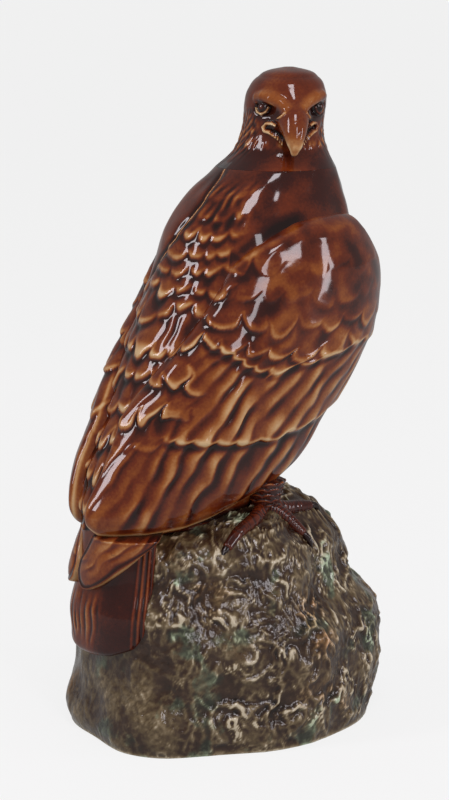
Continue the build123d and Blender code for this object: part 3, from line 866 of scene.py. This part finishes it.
def head_point(reach, side, height):
    """A point of the head by its reach along the beak's way, its side to the right, and height.

    The skull leans off the neck's axis, more with its height.
    """
    lean = lean_size * between(skull_rows, height)[..., 0]
    way, lean_way = np.radians(head_turn), np.radians(lean_turn)
    return placed(
        neck_reach + lean * np.cos(lean_way) + reach * np.cos(way) + side * np.sin(way),
        lean * np.sin(lean_way) + reach * np.sin(way) - side * np.cos(way),
        lip_height + height,
    )


def joined(one, other, fillet):
    """Two distances as one skin: the smaller, with a fillet where they are nearly the same."""
    blend = np.clip(0.5 + 0.5 * (other - one) / fillet, 0, 1)
    return other * (1 - blend) + one * blend - fillet * blend * (1 - blend)


def along(place, path):
    """Distance from points to a path whose corners carry a radius, less that radius."""
    nearest = np.full(place.shape[:-1], 99.0)
    for start, end in zip(path, path[1:]):
        start, end = np.array(start, float), np.array(end, float)
        run = (end - start)[:3]
        share = np.clip((place - start[:3]) @ run / (run @ run), 0, 1)
        gap = np.linalg.norm(place - start[:3] - share[..., None] * run, axis=-1)
        nearest = np.minimum(nearest, gap - start[3] - share * (end[3] - start[3]))
    return nearest


beak_run = np.column_stack([np.arange(len(beak_chain)), beak_chain])
beak_steps = between(beak_run, np.linspace(0, len(beak_chain) - 1, 29))
beak_path = [(reach, 0, height, radius) for reach, height, radius in beak_steps]
# The features of the face as paths: reach, side, height over the lip, radius.
nose_path = [(9.0, 0, 31.0, 5.0), (17.0, 0, 26.0, 3.0), (22.0, 0, 21.0, 2.6)]
brow_path = [
    (20.5, 3.6, 24.6, 1.4), (18.0, 6.0, 26.6, 1.9), (15.0, 9.2, 28.3, 2.3), (12.0, 12.0, 29.0, 1.9),
    (9.0, 13.6, 28.6, 1.0),
]
cere_path = [(19.4, 7.0, 20.4, 0.3), (21.2, 6.0, 21.2, 0.5), (22.4, 4.4, 22.8, 0.5)]
eye, eye_radius = (11.6, 11.0, 24.5), 2.5
socket_path = [(16.0, 10.4, 24.2, 3.3), (12.0, 13.2, 24.4, 3.0)]
lower_lid = [
    (13.8, 9.6, 24.6, 0.2), (13.4, 10.6, 22.7, 0.45), (12.2, 12.0, 21.9, 0.55),
    (10.4, 13.4, 22.6, 0.4), (9.6, 13.9, 24.2, 0.2),
]
upper_lid = [(14.4, 9.2, 25.8, 0.5), (12.6, 11.6, 27.0, 0.8), (9.6, 13.9, 26.4, 0.5)]
mouth_curl = [
    (19.6, 7.2, 17.6, 0.4), (17.6, 8.6, 18.4, 0.65), (15.2, 10.1, 18.2, 0.75),
    (13.9, 11.0, 16.8, 0.75), (14.8, 10.6, 15.3, 0.65), (17.4, 9.1, 14.7, 0.5),
    (20.6, 6.6, 12.8, 0.3), (23.4, 4.0, 9.8, 0.2),
]
mouth_hollow = [(16.2, 9.9, 16.7, 0.9), (19.4, 7.6, 16.2, 0.8)]
mouth_line = [(26.0, 1.8, 10.4, 0.2), (24.4, 3.6, 13.6, 0.3), (21.4, 6.0, 15.8, 0.4)]


def head_distance(place):
    """Roughly how far points are outside the head's skin.

    The skull is an oval at each height. The sockets are cut out of it, and the beak, nose, brows,
    eyes and lids are joined on, each with its own fillet.
    """
    reach, side, height = np.moveaxis(place, -1, 0)
    shares = between(skull_rows, np.clip(height, 0, skull_top))
    front, back, width = np.moveaxis(shares, -1, 0)[1:]
    length = skull_half_length * np.where(reach > 0, front, back)
    oval = np.hypot(reach / length, side / (skull_half_width * width))
    skull = np.maximum((oval - 1) * np.minimum(16, 18 * width), height - skull_top)
    mirrored = placed(reach, np.abs(side), height)
    skin = -joined(-skull, along(mirrored, socket_path), 1.6)
    skin = joined(skin, along(place, beak_path), 2.2)
    skin = joined(skin, along(place, nose_path), 3.5)
    skin = joined(skin, along(mirrored, brow_path), 2.0)
    skin = joined(skin, np.linalg.norm(mirrored - eye, axis=-1) - eye_radius, 0.3)
    for path in (lower_lid, upper_lid, cere_path):
        skin = joined(skin, along(mirrored, path), 0.5)
    skin = joined(skin, along(mirrored, mouth_curl), 0.6)
    for path in (mouth_line, mouth_hollow):
        skin = -joined(-skin, along(mirrored, path), 0.5)
    return skin


# Rays leave the middle of the head and crowd towards the face. Each one's last crossing of the
# skin is found in steps of 1 mm from outside, and then by halving.
columns, rows, nearest, furthest = 460, 175, 3, 44
even = np.linspace(-np.pi, np.pi, columns, endpoint=False)
azimuth, polar = np.meshgrid(
    even - 0.45 * np.sin(even),
    np.linspace(np.radians(0.8), np.pi - np.arctan2(foot_radius, eye_height), rows),
)
ray = placed(np.sin(polar) * np.cos(azimuth), np.sin(polar) * np.sin(azimuth), np.cos(polar))
ray_start = (0, 0, eye_height)
near = np.full(polar.shape, float(nearest))
for probe in range(furthest, nearest, -1):
    within = head_distance(ray_start + ray * probe) < 0
    near = np.where(within & (near == nearest), probe, near)
far = near + 1.0
for _ in range(14):
    middle = (near + far) / 2
    inside = head_distance(ray_start + ray * middle[..., None]) < 0
    near, far = np.where(inside, middle, near), np.where(inside, far, middle)
local = ray_start + ray * near[..., None]
reach, side, height = np.moveaxis(local, -1, 0)
mirrored = placed(reach, np.abs(side), height)

# Short feathers stream down and back over the cheeks, tufts stand under the beak, and long
# hackles run down the nape, as round ridges with narrower grooves between them.
cheek = ramp(np.abs(side), 7, 10) * ramp(reach, 12.5, 9.5)
cheek *= ramp(height, 25, 20) * np.clip(height / 6, 0.2, 1)
down = reach * 0.45 + height * 0.89
strands = rough(placed(reach * 0.89 - height * 0.45, 0.0, down / 2.4), strand_size, 51)
chin = ramp(reach, 0, 6) * ramp(height, 12, 10) * ramp(height, 7.5, 9)
tufts = np.clip(rough(local * (1, 1, 0.3), tuft_size, 54) * 1.6, 0, 1)
nape = ramp(reach, 4, -1) * ramp(height, 22, 14)
wave = np.degrees(azimuth) / nape_pitch + 0.6 * rough(local, 12, 52)
hackles = 0.8 * np.cos(2 * np.pi * wave) - 0.2 * np.cos(4 * np.pi * wave)
relief = 0.45 * cheek * strands + 0.4 * chin * tufts + 0.3 * nape * hackles
relief += 0.05 * rough(local, 5, 53)
relief = soften(relief) * ramp(height, 1.5, 4.5)


def marked(path, width, gap=0.0):
    """1 on a path, falling off over width, the path's radius and gap left out."""
    return band(np.maximum(along(mirrored, path) - gap, 0), 0, width)


def spot(place):
    """A path that is no more than a point."""
    return [(*place, 0.0), (*np.add(place, 0.01), 0.0)]


iris = np.add(eye, (1.8, 1.7, 0.2))
lores = [(18.6, 7.6, 22.6, 0.0), (15.6, 10.4, 21.0, 0.0)]  # the bare strip between eye and beak
pale = np.where(side > 0, 1.0, 0.35)  # the pale marks are only about a third as strong on the left side of the face
# Pale on what stands out: brow, lower lid, cere, the curl of the mouth, the beak's tip and ridge.
# The eyes are dark; painted shade darkens the sockets round them, the lores under the brow, the
# hollow of the mouth and the throat under the beak. The foot of the head is darker at the front.
head_tone = (
    0.22 * marked(brow_path, 1.5)
    # the dark eyeball, with painted shade spreading over the socket round it
    - 0.5 * marked(spot(eye), 2.4, 2.2)
    # painted shade in the lores under the brow
    - 0.35 * marked(lores, 2.4)
    + 1.4 * pale * marked(lower_lid, 0.2)
    + 0.45 * pale * marked(cere_path, 0.3)
    + 0.75 * pale * marked(mouth_curl[:6], 0.2)
    + 0.25 * pale * marked(mouth_curl[6:], 0.3)
    # painted shade in the hollow of the mouth
    - 0.7 * marked(mouth_hollow, 0.6)
    + 0.40 * ramp(reach, 20, 24) * ramp(height, 15, 10)
    + 0.14 * ramp(reach, 17.5, 20.5) * ramp(height, 24, 20)
    # painted shade on the throat under the beak
    - 0.12 * ramp(reach, 4, 10) * ramp(height, 12, 8)
    - 0.10 * ramp(reach, -6, 2) * ramp(height, 9, 0)
    + 0.5 * marked(spot(iris), 0.9)
    + 0.75 * cheek * strands
    + 0.35 * chin * tufts
    + 0.12 * nape * hackles
    - 0.12
)
head_skin = head_point(*np.moveaxis(raised(local, relief), -1, 0))
inner_rings = (  # radius and height over the lip: flat foot, hole for the cork, and the hollow
    (foot_radius, 0.0), (18.0, 0.0), (11.0, 0.0), (10.6, 0.5), (10.6, 8.0), (12.0, 12.0),
    (13.0, 18.0), (13.0, 24.0), (10.0, 31.0), (3.0, 33.0),
)
ahead, aside = np.cos(azimuth[-1]), np.sin(azimuth[-1])
inner = [head_point(radius * ahead, radius * aside, level) for radius, level in inner_rings]
head_rings = np.concatenate([head_skin, inner])
head_tint = soften(head_tone)
casting("stopper_head", head_rings, "head", *brown, ["head"], tint=head_tint, spread=10)

# Feet
# Short feathered legs and bare toes with claws, modelled by hand in strips of clay on the rock's
# mould, under the same brown glaze.


def tube(path, columns, rows):
    """A round tube with round ends along a smooth path, whose corners are x, y, z and radius.

    Each ring lies across the path, and its radius shrinks to nothing within 1.5 mm of an end.
    """
    path = np.array(path, float)
    knots = lengths(path[:, :3])
    at = np.linspace(0, knots[-1], rows)
    line = between(np.column_stack([knots, path]), at)
    run = np.gradient(line[:, :3], axis=0)
    run /= np.linalg.norm(run, axis=1, keepdims=True)
    aside = np.cross(run, (0.1, 1.0, 0.5))
    aside /= np.linalg.norm(aside, axis=1, keepdims=True)
    over = np.cross(run, aside)
    ends = rounded(np.minimum(at, knots[-1] - at) + 0.02, 1.5)
    radius = (line[:, 3] * ends)[:, None, None]
    angle = np.linspace(0, 2 * np.pi, columns, endpoint=False)[None, :, None]
    return line[:, None, :3] + radius * (np.cos(angle) * aside[:, None] + np.sin(angle) * over[:, None])


feet = {  # the ankle, and then each toe over its knuckles to the root of its claw
    "right": (
        (8.4, -22.6, 91.6),
        ((14.2, -27.1, 87.4), (18.1, -29.9, 83.1), (21.3, -32.8, 79.0)),
        ((19.3, -21.5, 88.3), (27.1, -20.3, 87.7), (33.5, -19.8, 87.0)),
        ((-1.9, -30.5, 87.8), (-11.6, -35.0, 85.2), (-20.0, -38.4, 79.9)),
    ),
    "left": (
        (14.2, 16.9, 92.2),
        ((24.5, 15.3, 91.6), (33.5, 14.1, 88.5), (41.9, 12.4, 82.3)),
        ((21.9, 22.6, 88.5), (29.0, 26.6, 83.4), (36.1, 29.9, 73.0)),
        ((7.7, 27.1, 88.6), (3.2, 35.0, 84.7), (-0.6, 41.2, 78.7)),
    ),
}
leg_height, leg_radii = 12.0, (5.6, 7.4, 9.0)
leg_columns, leg_rows, feathers_round, feathers_down = 120, 90, 9, 5
toe_lift, toe_radii = 0.8, (3.0, 2.9, 2.6, 2.0)
toe_columns, toe_rows, toe_scutes = 36, 110, 13
claw_length, claw_radii = 6.5, (1.7, 1.2, 0.4)
claw_bends = claw_length * np.array([(-0.2, -0.05), (0.35, 0.02), (0.7, 0.45)])  # onward, down
for side, (ankle, *toes) in feet.items():
    rise = leg_height * np.linspace(0, 1, 3)[:, None]
    leg = tube(np.column_stack([ankle + rise * (0, 0, 1), leg_radii]), leg_columns, leg_rows)
    around = np.linspace(0, feathers_round, leg_columns, endpoint=False)
    down = np.linspace(0, feathers_down, leg_rows)[:, None]
    leg_relief, leg_tone = shingle(around + 0.4 * rough(leg, 6, 61), down)
    leg = raised(leg, 0.45 * soften(leg_relief, 2))
    leg_tint = 0.4 * soften(leg_tone, 2) - 0.3
    casting(f"{side}_leg", leg, "bottle", *brown, [f"{side}_foot"], tint=leg_tint)
    for number, toe in enumerate(toes, 1):
        path = np.array([ankle, *toe]) + (0, 0, toe_lift)
        skin = tube(np.column_stack([path, toe_radii]), toe_columns, toe_rows)
        down = np.linspace(0, toe_scutes, toe_rows)[:, None]
        scutes = quills(down + 1.2 * rough(skin, 4, 62))
        scutes = soften(scutes * np.clip(1.2 * np.linspace(1, 0, toe_rows), 0, 1)[:, None])
        skin = raised(skin, 0.14 * scutes)
        casting(f"{side}_toe_{number}", skin, "bottle", *brown, tint=0.2 * scutes - 0.42)
        # The claw curves on from the toe and down to the rock.
        onward = path[-1] - path[-2]
        onward = onward / np.linalg.norm(onward)
        bends = [onward * reach - (0, 0, drop) for reach, drop in claw_bends]
        claw = tube(np.column_stack([path[-1] + bends, claw_radii]), columns=24, rows=50)
        casting(f"{side}_claw_{number}", claw, "bottle", *brown, tint=-0.75 + 0 * claw[..., 0])

# Floor and light
# A pale sweep of paper under large soft boxes, as in a small product studio.
half = 99.0  # metres, past all that any view shows
floor_mesh = bpy.data.meshes.new("floor")
floor_mesh.from_pydata(
    [(-half, -half, 0), (half, -half, 0), (half, half, 0), (-half, half, 0)], [], [(0, 1, 2, 3)]
)
floor = bpy.data.objects.new("floor", floor_mesh)
scene.collection.objects.link(floor)
# Matt paper in diffuse light from all round, which keeps it an even pale grey up to the object.
paper = bpy.data.materials.new("matt_white_paper")
paper.use_nodes = True
tree = paper.node_tree
shader = tree.nodes["Principled BSDF"]
shader.inputs["Base Color"].default_value = linear("#606060")
shader.inputs["Roughness"].default_value = 0.9
shader.inputs["Emission Color"].default_value = linear("#f2f2f2")
seen = node(tree, "ShaderNodeLightPath").outputs["Is Camera Ray"]
glow = node(tree, "ShaderNodeMapRange", {0: seen, 1: 0.0, 2: 1.0, 3: 0.35, 4: 0.92})
tree.links.new(glow.outputs[0], shader.inputs["Emission Strength"])
floor_mesh.materials.append(paper)

world = bpy.data.worlds.new("studio")
world.use_nodes = True
tree = world.node_tree
seen = node(tree, "ShaderNodeLightPath").outputs["Is Camera Ray"]
strength = node(tree, "ShaderNodeMapRange", {0: seen, 1: 0.0, 2: 1.0, 3: 0.32, 4: 1.0})
tree.nodes["Background"].inputs[0].default_value = linear("#f2f2f2")
tree.links.new(strength.outputs[0], tree.nodes["Background"].inputs[1])
scene.world = world
scene.view_settings.view_transform = "Standard"


def softbox(name, place, width, height, power):
    """A rectangular area light that faces the middle of the bird."""
    light = bpy.data.lights.new(name, "AREA")
    light.shape, light.size, light.size_y, light.energy = "RECTANGLE", width, height, power
    light.color = (1.0, 0.95, 1.0)
    lamp = bpy.data.objects.new(name, light)
    scene.collection.objects.link(lamp)
    lamp.location = place
    lamp.rotation_euler = (Vector((0, 0, 0.15)) - Vector(place)).to_track_quat("-Z", "Y").to_euler()


# Place, width and height in metres, power in watts.
softbox("left_softbox", (-0.30, -1.50, 0.85), 0.24, 1.0, 5.2)
softbox("right_softbox", (1.05, -1.05, 0.25), 0.18, 1.0, 4.2)
softbox("top_softbox", (-0.30, -0.60, 1.35), 0.34, 0.34, 3.6)
softbox("middle_softbox", (0.33, -1.40, 0.66), 0.46, 0.17, 2.0)
softbox("far_softbox", (-1.4, 0.3, 0.9), 0.3, 0.8, 7.0)
